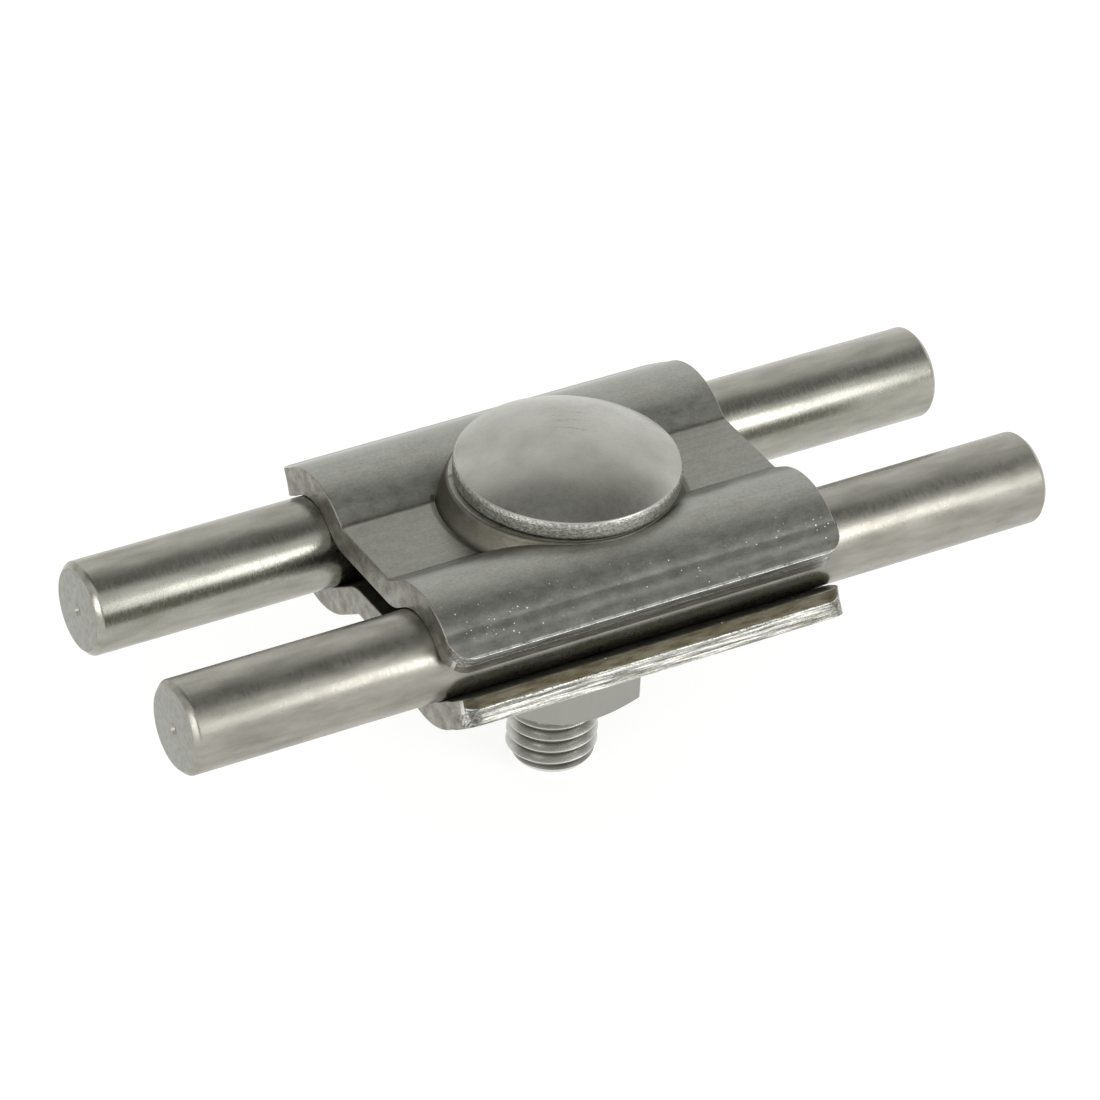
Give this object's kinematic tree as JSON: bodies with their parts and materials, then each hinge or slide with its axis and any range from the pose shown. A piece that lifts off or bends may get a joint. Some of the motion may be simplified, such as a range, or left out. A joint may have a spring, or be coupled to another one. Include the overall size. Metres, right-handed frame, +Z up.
{
  "type": "parallel connector",
  "caption": "Parallel connector: two pressed steel plates with drawn seats clamp a pair of round conductors side by side under a saucer-head bolt and a hexagon nut.",
  "frame": {"origin": "on the bolt's axis, at the height of the two conductors' axes, midway between them", "axes": "+X along the conductors, +Y towards the back conductor, +Z up along the bolt, towards its head"},
  "size_m": [0.1015, 0.0384, 0.0408],
  "materials": {
    "plate_steel": "pressed sheet, dull satin with fine pitting, brighter along the rolled edges",
    "bolt_steel": "cold-headed, satin",
    "nut_steel": "smooth, pale satin",
    "conductor_steel": "drawn round bar, satin, sawn and turned ends"
  },
  "bodies": {
    "clamp_top": {"upper_plate": "plate_steel", "saucer_bolt": "bolt_steel", "front_conductor": "conductor_steel", "back_conductor": "conductor_steel"},
    "clamp_bottom": {"lower_plate": "plate_steel"},
    "nut": {"hex_nut": "nut_steel"}
  },
  "joints": [
    {"name": "clamp_opening", "type": "slide", "parent": "clamp_top", "child": "clamp_bottom", "axis": [0, 0, -1], "range_m": [0, 0.009]},
    {"name": "nut_turning", "type": "hinge", "parent": "clamp_bottom", "child": "nut", "pos_m": [0, 0, -0.0134], "axis": [0, 0, -1], "range_deg": [0, 2160]}
  ],
  "couplings": [
    {"joint": "nut_turning", "follows": "clamp_opening", "rad_per_m": 4188.8}
  ]
}
